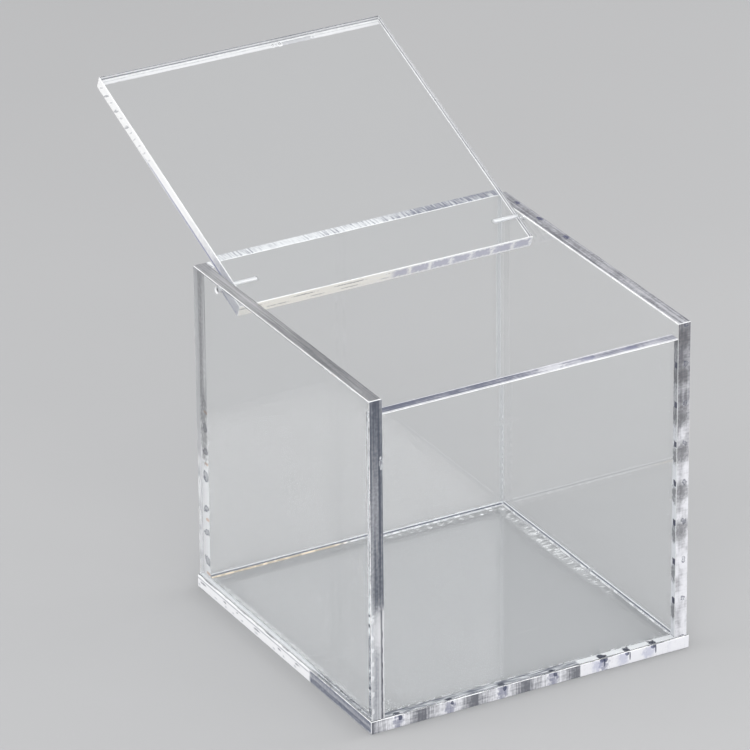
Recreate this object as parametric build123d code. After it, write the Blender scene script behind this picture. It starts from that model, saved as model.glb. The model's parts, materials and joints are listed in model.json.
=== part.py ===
from build123d import *

import math
import os

# Clear acrylic box with a hinged lid. Millimetres. +X to the box's right, +Y to its back, +Z up.
# The origin is the centre of the base's underside. The lid is modelled fully open, leaning back.

# Box
box_width = 100.0  # across the outer faces of the side walls
box_depth = 100.0  # across the outer faces of the front and back walls
box_height = 100.0  # from the base's underside to the tops of the side walls
sheet = 4.0  # every panel is cut from this thickness of sheet
base_overhang = 0.5  # the base stands out past the walls all round, for the cement
arris = 0.4  # flat that breaks each exposed edge

# Lid
lid_side_gap = 0.6  # from each end of the lid to the side wall
lid_swing_gap = 0.3  # from the back wall to the circle that the lid's rear corner sweeps
lid_front_setback = 0.4  # the closed lid stops short of the front wall's outer face
lid_front_gap = 0.5  # under the lid's front edge when the lid is level
stop_gap = 0.03  # left at the back wall's edge and over the front wall at the two stops

# Hinge
hinge_to_back = 10.0  # from the hinge axis to the back wall's inner face
pin_diameter = 1.5
pin_length = 12.0
pin_recess = 0.3  # the pin's outer end lies this far inside the side wall's outer face
pin_end_chamfer = 0.2
pin_running_gap = 0.05  # round the pin, in the lid
pin_end_gap = 0.4  # past the pin's inner end, in the lid
mouth_step = 0.4  # the countersink is this much wider than the hole, on the radius
drill_point_angle = 118.0  # of the cone at the bottom of a drilled hole, in degrees
overrun = 1.0  # cuts run past a face by this

# Places that follow from the sizes above
half_width = box_width / 2
half_depth = box_depth / 2
inner_half_width = half_width - sheet
inner_half_depth = half_depth - sheet
wall_height = box_height - sheet
front_height = wall_height - sheet - lid_front_gap

hinge_y = inner_half_depth - hinge_to_back
hinge_z = box_height - sheet / 2
hinge_axis = Axis((0, hinge_y, hinge_z), (1, 0, 0))

lid_half_width = inner_half_width - lid_side_gap
lid_rear = math.sqrt((hinge_to_back - lid_swing_gap) ** 2 - (sheet / 2) ** 2)
lid_front = hinge_y + half_depth - lid_front_setback

pin_radius = pin_diameter / 2
pin_outer_x = half_width - pin_recess
pin_inner_x = pin_outer_x - pin_length


def edge_stop_angle():
    """Degrees that the open lid rises above level where it leans on the back wall's top inner edge."""
    edge_y = hinge_to_back + arris
    edge_z = sheet / 2
    reach = math.hypot(edge_y, edge_z)
    return math.degrees(math.atan2(edge_z, edge_y) + math.asin((sheet / 2 + stop_gap) / reach))


def closed_dip_angle():
    """Degrees that the closed lid's front edge dips below level where it rests on the front wall."""
    edge_y = lid_front - arris
    edge_z = sheet / 2
    reach = math.hypot(edge_y, edge_z)
    drop = edge_z + lid_front_gap - stop_gap
    return math.degrees(math.asin(drop / reach) - math.atan2(edge_z, edge_y))


open_rise = edge_stop_angle()
open_turn = 180 - open_rise
travel = open_turn + closed_dip_angle()


def panel(x_size, y_size, z_size, x, y, z):
    """A flat panel centred at x, y, with its underside at z."""
    outline = Pos(x, y, z) * Rectangle(x_size, y_size)
    return extrude(outline, z_size)


def edges_at(solid, axis, place):
    """The edges that lie wholly in one plane across an axis."""
    return solid.edges().filter_by_position(axis, place, place)


def revolved(profile, x_dir):
    """Turns a profile of (distance along the axis, radius) points round the hinge axis."""
    plane = Plane(origin=(0, hinge_y, hinge_z), x_dir=(x_dir, 0, 0), z_dir=(0, -x_dir, 0))
    face = make_face(plane * Polyline(*profile, close=True))
    return revolve(face, hinge_axis)


def wall_hole(side):
    """The cutter for a side wall's hinge hole: a bore that the pin is tight in, and its countersink."""
    inside = inner_half_width - overrun
    outside = half_width + overrun
    mouth = pin_radius + mouth_step
    profile = [
        (inside, 0),
        (inside, pin_radius),
        (half_width - mouth_step, pin_radius),
        (half_width, mouth),
        (outside, mouth),
        (outside, 0),
    ]
    return revolved(profile, side)


def lid_hole(side):
    """The cutter for a blind hole in the lid's end: a bore that runs on the pin, and its drill point."""
    radius = pin_radius + pin_running_gap
    bottom = pin_inner_x - pin_end_gap
    point = bottom - radius / math.tan(math.radians(drill_point_angle / 2))
    mouth = lid_half_width + overrun
    profile = [
        (point, 0),
        (bottom, radius),
        (mouth, radius),
        (mouth, 0),
    ]
    return revolved(profile, side)


def make_pin(side):
    """A straight steel pin with a chamfer at both ends."""
    profile = [
        (pin_inner_x, 0),
        (pin_inner_x, pin_radius - pin_end_chamfer),
        (pin_inner_x + pin_end_chamfer, pin_radius),
        (pin_outer_x - pin_end_chamfer, pin_radius),
        (pin_outer_x, pin_radius - pin_end_chamfer),
        (pin_outer_x, 0),
    ]
    return revolved(profile, side)


def make_base():
    """The base plate, which all four walls stand on."""
    base = panel(box_width + 2 * base_overhang, box_depth + 2 * base_overhang, sheet, 0, 0, 0)
    return chamfer(base.edges(), arris)


def make_side_wall(side):
    """A side wall of full depth and height. Its ends show at the front and the back."""
    x = side * (half_width - sheet / 2)
    wall = panel(sheet, box_depth, wall_height, x, 0, sheet)
    top = edges_at(wall, Axis.Z, box_height)
    corners = edges_at(wall, Axis.X, side * half_width).filter_by(Axis.Z)
    wall = chamfer(top + corners, arris)
    return wall - wall_hole(side)


def make_cross_wall(side, height):
    """The front or the back wall, which fits between the side walls."""
    y = side * (half_depth - sheet / 2)
    wall = panel(2 * inner_half_width, sheet, height, 0, y, sheet)
    top = edges_at(wall, Axis.Z, sheet + height).filter_by(Axis.X)
    return chamfer(top, arris)


def make_lid():
    """The lid, cut and drilled level, then turned back to where it leans on the back wall."""
    length = lid_front + lid_rear
    y = hinge_y + (lid_rear - lid_front) / 2
    lid = panel(2 * lid_half_width, length, sheet, 0, y, box_height - sheet)
    lid = chamfer(lid.edges(), arris)
    for side in (-1, 1):
        lid = lid - lid_hole(side)
    return lid.rotate(hinge_axis, -open_turn)


parts = {
    "base_plate": make_base(),
    "left_wall": make_side_wall(-1),
    "right_wall": make_side_wall(1),
    "front_wall": make_cross_wall(-1, front_height),
    "back_wall": make_cross_wall(1, wall_height),
    "lid_panel": make_lid(),
    "left_hinge_pin": make_pin(-1),
    "right_hinge_pin": make_pin(1),
}

os.makedirs("parts", exist_ok=True)
for name, shape in parts.items():
    export_step(shape, f"parts/{name}.step")

print(f"hinge axis at y {hinge_y:.3f}, z {hinge_z:.3f}")
print(f"open lid rises {open_rise:.3f} degrees, travel to closed {travel:.3f} degrees")
print(f"lid {2 * lid_half_width:.2f} wide, {lid_front:.3f} ahead of the hinge and {lid_rear:.3f} behind it")
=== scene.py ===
"""A clear acrylic box with a hinged lid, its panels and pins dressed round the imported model.

The box stands on z = 0 with its base centred on the origin, +X is its right and +Y its back. The
lid is fully open, leaning back over the back wall. Shapes are in metres, and the marks on the
edges, joints and faces are measured in millimetres from the origin.
"""

import json
import logging
import math
from dataclasses import dataclass, field
from enum import Enum
from typing import Callable, Iterable, Sequence

import bmesh
import bpy
from bmesh.types import BMEdge, BMesh, BMVert
from bpy.types import Material, MeshPolygon, Node, NodeSocket, Object, World
from mathutils import Matrix, Vector


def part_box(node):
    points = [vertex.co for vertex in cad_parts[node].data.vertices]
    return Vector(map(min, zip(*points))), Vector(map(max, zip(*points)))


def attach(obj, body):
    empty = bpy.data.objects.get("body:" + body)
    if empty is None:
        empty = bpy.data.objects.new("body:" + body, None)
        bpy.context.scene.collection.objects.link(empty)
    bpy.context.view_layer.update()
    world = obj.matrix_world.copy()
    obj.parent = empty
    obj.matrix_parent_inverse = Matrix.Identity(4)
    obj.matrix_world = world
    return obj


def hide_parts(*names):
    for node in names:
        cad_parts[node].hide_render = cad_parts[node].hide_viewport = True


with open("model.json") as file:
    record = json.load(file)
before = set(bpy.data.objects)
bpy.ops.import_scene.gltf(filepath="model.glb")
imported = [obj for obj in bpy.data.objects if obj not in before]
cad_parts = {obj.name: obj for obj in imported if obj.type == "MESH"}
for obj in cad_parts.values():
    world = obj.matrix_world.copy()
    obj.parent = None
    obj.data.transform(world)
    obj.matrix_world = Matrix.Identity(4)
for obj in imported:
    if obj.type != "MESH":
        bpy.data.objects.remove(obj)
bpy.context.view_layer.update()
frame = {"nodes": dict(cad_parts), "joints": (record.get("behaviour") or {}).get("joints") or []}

LOG = logging.getLogger("acrylic_box")

MM = 0.001
HAIR = 0.02 * MM  # keeps two surfaces from lying in one place
SLIVER = 0.05 * MM  # less than any step in the shapes
DECIMALS = 7  # of a metre, finer than any step
ENDLESS = 1000.0  # millimetres, longer than any run
FLAT = 0.999  # cosines of how far a face may turn from a side
NEARLY_FLAT = 0.99
OUTER_FACET = 0.93
UPRIGHT = 0.1  # how far up or down an upright face may look

Colour = tuple[float, float, float]
ACRYLIC_IOR = 1.49
FACE_SHADE = (0.94, 0.945, 0.95)
EDGE_SHADE = (0.5, 0.51, 0.52)
WETTED_TINT = (0.985, 0.99, 0.992)


class Axis(Enum):
    """A direction of the row frame, by its place in a vector."""

    X = 0
    Y = 1
    Z = 2

    @classmethod
    def besides(cls, *known: "Axis") -> list["Axis"]:
        """The axes other than the known ones."""
        return [axis for axis in cls if axis not in known]


@dataclass(frozen=True)
class Side:
    """One side of a level panel: an axis, and which way along it the side looks."""

    axis: Axis
    sign: int

    def faces(self, normal: Vector, least: float = FLAT) -> bool:
        """True if the cosine between a face's normal and the side is over least."""
        return normal[self.axis.value] * self.sign > least


LEFT, RIGHT = Side(Axis.X, -1), Side(Axis.X, 1)
FRONT, BACK = Side(Axis.Y, -1), Side(Axis.Y, 1)
BOTTOM, TOP = Side(Axis.Z, -1), Side(Axis.Z, 1)
SIDES = (LEFT, RIGHT, FRONT, BACK, BOTTOM, TOP)
AROUND = (LEFT, RIGHT, FRONT, BACK)
CORNERS = tuple((a, b) for a in (LEFT, RIGHT) for b in (FRONT, BACK))
ALL_ROUND = CORNERS + tuple((a, b) for a in (BOTTOM, TOP) for b in AROUND)


def side_on(normal: Vector, least: float) -> Side | None:
    """The side that a face with this normal is on, if any."""
    return next((side for side in SIDES if side.faces(normal, least)), None)


@dataclass(frozen=True)
class Lie:
    """How a panel's pattern lies: as the panel was cut, then turned about a line along X."""

    turn: float = 0.0
    pivot: Vector = field(default_factory=Vector)


LEVEL = Lie()


class NodeBoard:
    """A material's node tree, with short calls that add and join its nodes."""

    def __init__(self, name: str, lie: Lie = LEVEL) -> None:
        """Starts an empty tree.

        Args:
            name: The material's name.
            lie: How the pattern lies.
        """
        self.material = bpy.data.materials.new(name)
        self.material.use_nodes = True
        self.tree = self.material.node_tree
        self.tree.nodes.clear()
        self.lie = lie

    def add(self, kind: str, **inputs: object) -> Node:
        """Adds a node and sets or links its inputs.

        Args:
            kind: The node's type, without its ShaderNode prefix.
            inputs: Values or output sockets, by the input's name with underscores for spaces.

        Returns:
            The new node.
        """
        node = self.tree.nodes.new("ShaderNode" + kind)
        for name, value in inputs.items():
            self.feed(node.inputs[name.replace("_", " ")], value)
        return node

    def feed(self, socket: NodeSocket, value: object) -> None:
        """Links an output socket to an input, or sets the input's value.

        Args:
            socket: The input.
            value: The output socket or the value. A colour comes without its alpha.
        """
        if isinstance(value, NodeSocket):
            self.tree.links.new(value, socket)
        elif socket.type == "RGBA":
            socket.default_value = (*value, 1.0)
        else:
            socket.default_value = value

    def math(self, operation: str, *values: object) -> NodeSocket:
        """Works out one step of arithmetic.

        Args:
            operation: The Math node's operation.
            values: Its inputs in order, as numbers or output sockets.

        Returns:
            The result.
        """
        node = self.tree.nodes.new("ShaderNodeMath")
        node.operation = operation
        for socket, value in zip(node.inputs, values):
            self.feed(socket, value)
        return node.outputs[0]

    def band(self, value: object, low: float, high: float, start: float = 0.0,
             end: float = 1.0) -> NodeSocket:
        """Maps one range onto another, smoothly and held at both ends.

        Args:
            value: What is mapped.
            low: Where the first range starts.
            high: Where it ends.
            start: What low becomes.
            end: What high becomes.

        Returns:
            The mapped value.
        """
        node = self.add("MapRange", Value=value, From_Min=low, From_Max=high, To_Min=start, To_Max=end)
        node.interpolation_type = "SMOOTHSTEP"
        return node.outputs[0]

    def spread(self, pattern: object, start: float, end: float) -> NodeSocket:
        """Maps the range that most of a noise pattern keeps to onto start to end."""
        return self.band(pattern, 0.3, 0.7, start, end)

    def place(self, stretch: Sequence[float] = (1, 1, 1)) -> NodeSocket:
        """Reads the object coordinates as the panel was cut.

        Args:
            stretch: What they are multiplied by along each axis.

        Returns:
            The stretched coordinates.
        """
        vector = self.add("TexCoord").outputs["Object"]
        if self.lie.turn:
            node = self.add("Mapping", Vector=vector)
            node.vector_type = "TEXTURE"
            node.inputs["Location"].default_value = self.lie.pivot
            node.inputs["Rotation"].default_value = (self.lie.turn, 0, 0)
            vector = node.outputs[0]
        back = [place * factor for place, factor in zip(self.lie.pivot, stretch)]
        return self.add("Mapping", Vector=vector, Location=back, Scale=stretch).outputs[0]

    def coordinate(self, axis: Axis) -> NodeSocket:
        """How many millimetres along an axis each place lies, as the panel was cut."""
        return self.add("SeparateXYZ", Vector=self.place([1 / MM] * 3)).outputs[axis.value]

    def noise(self, scale: float | Sequence[float], detail: float = 2.0,
              rough: float = 0.5) -> NodeSocket:
        """Makes a noise pattern.

        Args:
            scale: Its waves to the metre, in every direction or along each axis.
            detail: How many finer waves lie over them.
            rough: How strong the finer waves are.

        Returns:
            The pattern's value.
        """
        stretch, scale = ((1, 1, 1), scale) if isinstance(scale, float) else (scale, 1.0)
        vector = self.place(stretch)
        node = self.add("TexNoise", Vector=vector, Scale=scale, Detail=detail, Roughness=rough)
        return node.outputs["Fac"]

    def blend(self, factor: object, first: object, second: object) -> NodeSocket:
        """Mixes two colours.

        Args:
            factor: The second colour's share.
            first: The first colour.
            second: The second colour.

        Returns:
            The mixed colour.
        """
        node = self.add("Mix", Factor=factor)
        node.data_type = "RGBA"
        self.feed(node.inputs[6], first)
        self.feed(node.inputs[7], second)
        return node.outputs[2]

    def mix(self, factor: object, first: NodeSocket, second: NodeSocket) -> NodeSocket:
        """Mixes two shaders.

        Args:
            factor: The second shader's share.
            first: The first shader.
            second: The second shader.

        Returns:
            The mixed shader.
        """
        node = self.add("MixShader", Fac=factor)
        self.feed(node.inputs[1], first)
        self.feed(node.inputs[2], second)
        return node.outputs[0]

    def acrylic(self, colour: object, rough: object, clear: object, **more: object) -> NodeSocket:
        """Makes the shader of acrylic.

        Args:
            colour: Its colour.
            rough: Its roughness.
            clear: The share of light that it lets through.
            more: The shader's other inputs.

        Returns:
            The shader.
        """
        node = self.add(
            "BsdfPrincipled", Base_Color=colour, Roughness=rough, IOR=ACRYLIC_IOR,
            Transmission_Weight=clear, **more,
        )
        return node.outputs[0]

    def clear_surface(self, shader: NodeSocket, shade: Colour = EDGE_SHADE) -> Material:
        """Ends the tree so that light from the lamps passes straight through the surface.

        Args:
            shader: The surface as it is seen.
            shade: The colour that the surface gives to light on its way through.

        Returns:
            The finished material.
        """
        path = self.add("LightPath")
        passing = self.add("BsdfTransparent", Color=shade)
        for output in ("Is Diffuse Ray", "Is Shadow Ray"):
            shader = self.mix(path.outputs[output], shader, passing.outputs[0])
        return self.solid_surface(shader)

    def solid_surface(self, shader: NodeSocket) -> Material:
        """Ends the tree with this shader and returns the finished material."""
        self.add("OutputMaterial", Surface=shader)
        return self.material


@dataclass(frozen=True)
class Spots:
    """Marks in step along a run, one for each place where cement was let in.

    One mark lies at first on the run and the others a pitch apart, where wander doesn't shift
    them, from low to high. They fade out past these two. Lengths are in millimetres.
    """

    pitch: float
    length: float
    across: float
    width: float
    first: float = 0.0
    wander: float = 4.0
    wander_scale: float = 45.0
    low: float = -ENDLESS
    high: float = ENDLESS
    fade: float = 3.0
    ragged: float = 1.6
    ragged_scale: float = 1100.0
    soft: float = 0.3
    hollow: float = 0.0
    rim: tuple[float, float] = (0.35, 0.65)
    slant: float = 0.0
    square: bool = False
    colour: Colour = (0.03, 0.04, 0.09)
    strength: float = 0.9

    @classmethod
    def alone(cls, length: float, *places: float, **marks: object) -> "Spots":
        """One mark by itself, which doesn't wander."""
        return cls(ENDLESS, length, *places, wander=0.0, **marks)

    @classmethod
    def line(cls, *places: float, **marks: object) -> "Spots":
        """A straight line from end to end."""
        return cls.alone(ENDLESS, *places, **marks)

    def mask(self, board: NodeBoard, run: Axis, across: Axis) -> NodeSocket:
        """Finds where the marks lie, with ragged outlines.

        Args:
            board: The material's board.
            run: The axis that the marks follow.
            across: The axis across the edge or the joint.

        Returns:
            The mask, from 0 to the marks' strength.
        """
        along = board.coordinate(run)
        off = board.math("SUBTRACT", board.coordinate(across), self.across)
        shifted = board.math("SUBTRACT", along, self.first)
        if self.slant:
            shifted = board.math("MULTIPLY_ADD", off, self.slant, shifted)
        steps = board.math("MULTIPLY", shifted, 1 / self.pitch)
        if self.wander:
            drifting = board.math("SUBTRACT", board.noise(self.wander_scale, 1.0), 0.5)
            steps = board.math("MULTIPLY_ADD", drifting, self.wander / self.pitch, steps)
        away = board.math("MULTIPLY", board.math("PINGPONG", steps, 0.5), 2 * self.pitch / self.length)
        beside = board.math("MULTIPLY", off, 2 / self.width)
        reaches = [board.math("MULTIPLY", part, part) for part in (away, beside)]
        reach = board.math("MAXIMUM" if self.square else "ADD", *reaches)
        torn = board.math("MULTIPLY_ADD", board.noise(self.ragged_scale), self.ragged, reach)
        outline = 1 + self.ragged / 2
        mask = board.band(torn, outline + self.soft, outline - self.soft, 0.0, self.strength)
        if self.hollow:
            outer, inner = (outline - depth for depth in self.rim)
            mask = board.math("MULTIPLY", mask, board.band(torn, outer, inner, 1.0, 1 - self.hollow))
        for end, limit in ((self.low - self.fade, self.low), (self.high + self.fade, self.high)):
            if abs(limit) < ENDLESS:
                mask = board.math("MULTIPLY", mask, board.band(along, end, limit))
        return mask


@dataclass(frozen=True)
class Drift:
    """A change that comes in between two places on a run, in millimetres."""

    start: float
    end: float
    amount: float


@dataclass(frozen=True)
class Smear:
    """Cement dragged out of a joint over a face, and left to dry white."""

    run: Axis
    across: Axis
    spots: Spots


@dataclass(frozen=True)
class SheetFace:
    """The glossy face of cast sheet, with the faint wear of handling."""

    name: str
    lie: Lie = LEVEL
    colour: Colour = (0.985, 0.99, 0.992)
    smears: tuple[Smear, ...] = ()
    hair_scale: tuple = (30, 900, 300)
    drag_scale: tuple = (260, 1500, 260)
    smear_rough: float = 0.4

    def material(self) -> Material:
        """Makes the material.

        Returns:
            The material.
        """
        board = NodeBoard(self.name, self.lie)
        wear = board.band(board.noise(38.0, 4.0, 0.6), 0.58, 0.76, 0.0, 0.04)
        hair = board.noise(self.hair_scale, 1.0)
        rough = board.math("ADD", wear, board.band(hair, 0.72, 0.75, 0.0, 0.12))
        colour, clear = self.colour, 1.0
        for smear in self.smears:
            drag = board.noise(self.drag_scale, 3.0, 0.7)
            mask = smear.spots.mask(board, smear.run, smear.across)
            mask = board.math("MULTIPLY", mask, board.band(drag, 0.42, 0.62))
            colour = board.blend(mask, colour, smear.spots.colour)
            clear = board.math("SUBTRACT", clear, mask)
            rough = board.math("MULTIPLY_ADD", mask, self.smear_rough, rough)
        return board.clear_surface(board.acrylic(colour, rough, clear), FACE_SHADE)


@dataclass(frozen=True)
class Marks:
    """How a cut edge or a joint looks: its two tones, and how strongly each kind of mark mixes them.

    Level is the tone before any marks, from 0 for dark to 1 for light, and drift changes it along
    the run. Fades repeat along the run up to fade_end, rails wave across it, and the other kinds
    are noise, each with its own length and pitch in millimetres. Cover and body are for joints
    alone: how much of one is dry, and how well the dry cement covers.
    """

    # On the cut edges the two tones and the drifts between them are partly painted light and shade: the
    # glow of light piped along the sheet and the dark of the surroundings seen through it.
    dark: Colour = (0.11, 0.11, 0.12)
    light: Colour = (0.95, 0.95, 0.96)
    level: float = 0.5
    drift: Drift | None = None
    fades: float = 0.0
    fade_start: float = -17.0
    fade_pitch: float = 16.3
    fade_end: float = 15.3
    fade_edge: float = 0.3
    rails: float = 0.0
    rail_pitch: float = 1.6
    rail_bend: float = 25.0
    lines: float = 0.0
    line_pitch: float = 1.3
    line_length: float = 90.0
    streaks: float = 0.8
    streak_pitch: float = 0.3
    streak_length: float = 16.0
    patches: float = 0.0
    patch_length: float = 9.0
    patch_width: float = 6.0
    hatch: float = 0.0
    hatch_pitch: float = 0.6
    hatch_length: float = 7.0
    specks: float = 0.0
    speck_size: float = 0.9
    clear: float = 0.3
    roughness: float = 0.25
    spots: tuple[Spots, ...] = ()
    cover: float = 1.0
    cover_drift: Drift | None = None
    body: float = 0.95


class EdgeLook(Enum):
    """The looks of the cut edges: marks that the cutter and the cement left, and painted light and shade
    in their tones, the glow piped along the sheet and the dark seen through it.
    """

    STREAKED = Marks(
        light=(0.42, 0.42, 0.43), level=0.58, rails=0.12, rail_pitch=0.9, lines=0.9, streaks=1.3,
        specks=0.4, drift=Drift(26, -20, -0.22),
    )
    MOTTLED = Marks(
        dark=(0.1, 0.1, 0.12), light=(0.5, 0.5, 0.53), level=0.58, lines=1.2, line_pitch=0.8, streaks=1.2,
        patches=0.7, patch_length=6, patch_width=4, specks=0.7, drift=Drift(-12, 10, -0.15),
        spots=(
            Spots(13.7, 2.4, 48.7, 1.5, 14, low=8, ragged=4.0, soft=0.6, colour=(0.025, 0.03, 0.1),
                  strength=0.85),
        ),
    )
    POLISHED = Marks(
        dark=(0.7, 0.71, 0.73), light=(0.93, 0.94, 0.95), level=0.8, lines=0.5, streaks=0.5, clear=0.96,
        roughness=0.06,
    )
    BANDED = Marks(
        dark=(0.07, 0.08, 0.11), light=(0.58, 0.59, 0.62), level=0.75, lines=1.7, streaks=0.4, specks=0.4,
        drift=Drift(30, 44, -0.55), clear=0.2,
        spots=(
            Spots.alone(12, -47.8, 2.6, 31, soft=1.0, ragged=2.4, colour=(0.9, 0.9, 0.92), strength=0.55),
            Spots(5, 2.2, -46.35, 0.5, high=30, ragged=3.0, colour=(0.03, 0.03, 0.05)),
            Spots(5, 1.6, -49.5, 0.9, 1, high=38, wander=14, ragged=6.0, colour=(0.95, 0.95, 0.97),
                  strength=0.6),
            Spots.line(-46.75, 0.5, high=36, ragged=2.4, colour=(0.05, 0.05, 0.07), strength=0.7),
            # Painted highlight: a thin white line along the border.
            Spots.line(-46.2, 0.35, high=36, ragged=0.5, colour=(0.95, 0.95, 0.97), strength=0.85),
            Spots.alone(3.6, -46.5, 0.9, 81, ragged=6.0, hollow=0.8, colour=(0.85, 0.86, 0.9)),
        ),
    )
    CLOUDED = Marks(
        dark=(0.16, 0.16, 0.18), light=(0.88, 0.88, 0.92), level=0.72, lines=0.4, streaks=0.3, patches=1.3,
        patch_length=5, patch_width=3, hatch=0.35, specks=0.3, drift=Drift(50, 98, -0.5), clear=0.12,
        spots=(
            Spots(12, 6, 47.4, 4.4, 0.6, soft=1.2, ragged=2.4, low=32, colour=(0.1, 0.1, 0.11),
                  strength=0.75),
            Spots(12, 1.7, 48.4, 1.3, 3.7, wander=1, soft=0.3, hollow=0.7, ragged=5.0,
                  colour=(0.06, 0.07, 0.12), strength=0.8),
        ),
    )
    LINED = Marks(
        dark=(0.11, 0.12, 0.17), light=(0.6, 0.6, 0.65), level=0.22, lines=0.6, streaks=0.7, patches=0.9,
        patch_length=7, patch_width=5, hatch=0.3, specks=0.4, drift=Drift(-14, 14, 0.42), clear=0.12,
        spots=(
            # Painted highlights: the two thin white lines along the borders of the edge.
            Spots.line(-49.5, 0.35, ragged=1.0, colour=(0.92, 0.92, 0.95), strength=0.8),
            Spots.line(-46.6, 0.35, ragged=1.0, colour=(0.92, 0.92, 0.95), strength=0.7),
            Spots.alone(8, -48.1, 2.4, 7, ragged=3.0, soft=0.8, colour=(0.85, 0.85, 0.88), strength=0.6),
            Spots(13, 4.5, -48.1, 2, 19, wander=3, ragged=3.0, soft=0.8, low=10, high=40,
                  colour=(0.1, 0.11, 0.24), strength=0.45),
        ),
    )
    RAILED = Marks(
        dark=(0.16, 0.17, 0.21), level=0.6, rails=0.9, rail_pitch=2, lines=0.7, streaks=0.7, specks=0.4,
        clear=0.2,
    )
    PATCHED = Marks(
        dark=(0.16, 0.17, 0.21), level=0.62, rails=0.35, rail_pitch=2.3, lines=0.6, streaks=0.7,
        patches=1.2, patch_length=11, patch_width=5, hatch=0.7, hatch_pitch=0.5, specks=0.4, clear=0.2,
    )
    # The base's left edge: the drift to the light tone towards the back is painted light, a blown-out glow
    # of light piped along the sheet.
    BLUED = Marks(
        dark=(0.11, 0.125, 0.18), light=(0.98, 0.98, 1.0), level=0.3, rails=0.15, rail_pitch=2.2,
        lines=0.5, streaks=0.5, specks=0.4, drift=Drift(-16.6, -14.8, 0.8), clear=0.05,
        spots=(
            Spots(11, 2.2, 2.2, 0.6, 4, wander=16, ragged=5.0, low=-8, colour=(0.15, 0.16, 0.2),
                  strength=0.7),
            Spots(7, 1.2, 1.1, 0.6, 1, wander=16, ragged=5.0, low=-10, colour=(0.5, 0.51, 0.56),
                  strength=0.6),
            Spots.line(3.0, 0.35, ragged=0.6, low=-14, colour=(0.2, 0.2, 0.24), strength=0.6),
        ),
    )
    GRADED = Marks(
        dark=(0.17, 0.175, 0.2), light=(0.93, 0.93, 0.97), level=0.76, fades=0.75, lines=0.5, streaks=0.4,
        hatch=0.9, hatch_pitch=0.4, specks=0.5, drift=Drift(15.1, 15.5, 0.26), clear=0.12,
        spots=(
            Spots(16.3, 3, 2, 5, 6.8, wander=1, high=26, soft=0.8, ragged=5.0, colour=(0.1, 0.11, 0.22),
                  strength=0.6),
            Spots(16.3, 1.1, 3.2, 1.6, 7.4, wander=1, high=26, ragged=3.0, strength=0.8),
            Spots(8.2, 0.4, 2.6, 2.8, 31.4, wander=1, low=18, high=42, ragged=0.8),
            Spots(8.2, 1.5, 3.6, 1.5, 30.6, wander=1, low=18, high=42),
            Spots(8.2, 3.4, 2.2, 3.6, 29, wander=1, low=18, high=42, soft=1.0, ragged=3.0,
                  colour=(0.4, 0.42, 0.6), strength=0.5),
        ),
    )
    HATCHED = Marks(
        dark=(0.2, 0.21, 0.27), light=(0.93, 0.94, 0.95), level=0.8, streaks=0.4, patches=0.8,
        patch_length=14, hatch=2.1, hatch_pitch=0.6, drift=Drift(-8, 30, -0.5), clear=0.12,
    )
    # The lid's back edge faces down and away from the lamps: its light tone, low clear share and cream
    # patch are painted light that brightens it.
    CREAMY = Marks(
        dark=(0.3, 0.3, 0.38), light=(0.99, 0.99, 1.0), level=1.05, streaks=0.3, patches=0.6,
        patch_length=6, clear=0.03,
        spots=(
            Spots.alone(76, 98, 8, -34, soft=1.0, ragged=2.0, colour=(1.0, 0.96, 0.87), strength=0.8),
            Spots(6.6, 5.4, 97.9, 2.5, 2.6, wander=6, ragged=2.4, soft=0.6, square=True,
                  colour=(0.47, 0.47, 0.59), strength=0.75, low=2),
            Spots(15, 8, 97.2, 0.45, 3, wander=14, ragged=4.0, soft=0.5, colour=(0.25, 0.25, 0.28),
                  strength=0.6, high=-2),
            Spots(11, 5, 98.6, 0.4, -1, wander=20, ragged=5.0, soft=0.5, colour=(0.35, 0.34, 0.36),
                  strength=0.5, high=-2),
        ),
    )
    TICKED = Marks(
        dark=(0.3, 0.31, 0.38), light=(0.98, 0.98, 0.98), level=1.05, streaks=0.3, patches=0.4, specks=0.4,
        drift=Drift(-6, 40, -0.65), clear=0.08,
        spots=(
            Spots(6.4, 0.8, 98.4, 2.6, high=-30, wander=6, ragged=3.0, slant=0.86,
                  colour=(0.25, 0.26, 0.29), strength=0.6),
            Spots(3.1, 0.6, 98.2, 1.6, 1.2, high=-16, wander=8, ragged=5.0, slant=0.86,
                  colour=(0.35, 0.36, 0.4), strength=0.4),
            Spots.alone(64, 99.2, 0.7, 12, colour=(0.15, 0.16, 0.34), strength=0.7),
        ),
    )


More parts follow.
